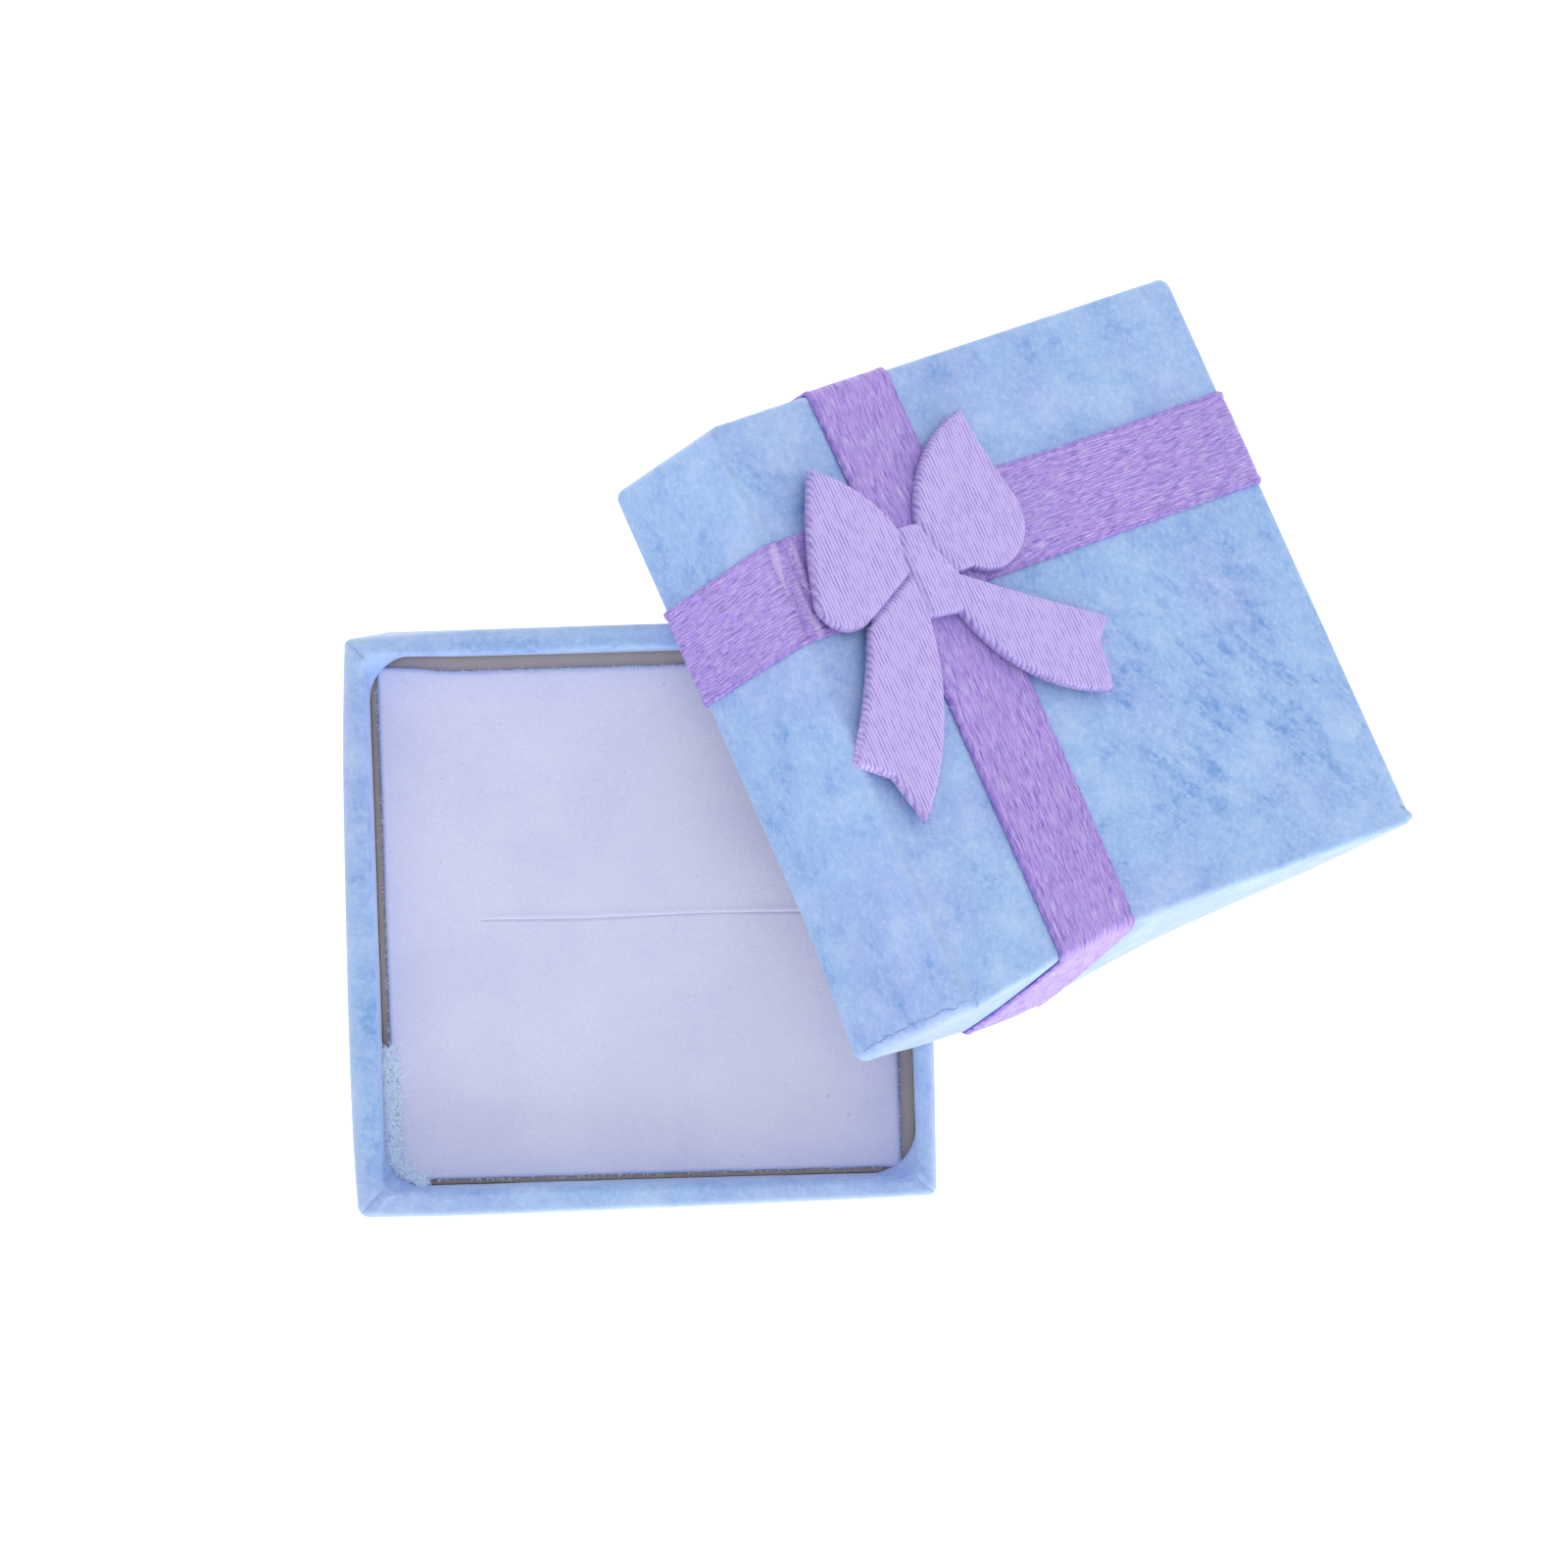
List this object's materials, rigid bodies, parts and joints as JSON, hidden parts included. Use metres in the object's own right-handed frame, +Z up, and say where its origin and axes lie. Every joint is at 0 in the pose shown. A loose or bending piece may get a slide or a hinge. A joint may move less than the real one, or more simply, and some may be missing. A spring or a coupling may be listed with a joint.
{
  "type": "jewelry gift box",
  "caption": "Small square paper-covered gift box for a ring, with a slit cushion insert and a loose lid tied with satin ribbon and a flat bow, shown open with the lid leaning.",
  "frame": {"origin": "centre of the base tray's underside", "axes": "+Z up out of the tray's mouth, +X east and +Y north along the tray's walls; the lid leans across the tray's north-east corner"},
  "size_m": [0.0729, 0.0623, 0.0406],
  "materials": {
    "greyboard": "matte grey-brown recycled board",
    "corner_tape": "matte kraft paper tape",
    "blue_wrap_paper": "matte mottled sky-blue fibrous paper",
    "insert_foam": "soft white foam",
    "grey_card": "matte grey card",
    "flocked_face": "short white flock with a lilac cast",
    "purple_ribbon": "satin woven ribbon",
    "clear_glue": "gloss",
    "bow_backing_cloth": "matte",
    "bow_padding": "soft white padding",
    "lilac_satin": "satin with fine slanting ribs"
  },
  "bodies": {
    "base": {"base_board": "greyboard", "base_corner_tape_northeast": "corner_tape", "base_corner_tape_northwest": "corner_tape", "base_corner_tape_southeast": "corner_tape", "base_corner_tape_southwest": "corner_tape", "base_wrap": "blue_wrap_paper"},
    "lid": {"lid_board": "greyboard", "lid_corner_tape_northeast": "corner_tape", "lid_corner_tape_northwest": "corner_tape", "lid_corner_tape_southeast": "corner_tape", "lid_corner_tape_southwest": "corner_tape", "lid_wrap": "blue_wrap_paper", "ribbon_lengthwise": "purple_ribbon", "ribbon_crosswise": "purple_ribbon", "bow_glue_dot": "clear_glue", "bow_backing": "bow_backing_cloth", "bow_core": "bow_padding", "bow_face": "lilac_satin"},
    "insert": {"insert_foam": "insert_foam", "insert_card": "grey_card", "insert_face": "flocked_face"}
  },
  "joints": [
    {"name": "lid_lift", "type": "slide", "parent": "base", "child": "lid", "axis": [0, 0, 1], "range_m": [0, 0.08]},
    {"name": "insert_lift", "type": "slide", "parent": "base", "child": "insert", "axis": [0, 0, 1], "range_m": [0, 0.04]}
  ],
  "couplings": [
    {"joint": "insert_lift", "follows": "lid_lift", "ratio": 0.5}
  ]
}
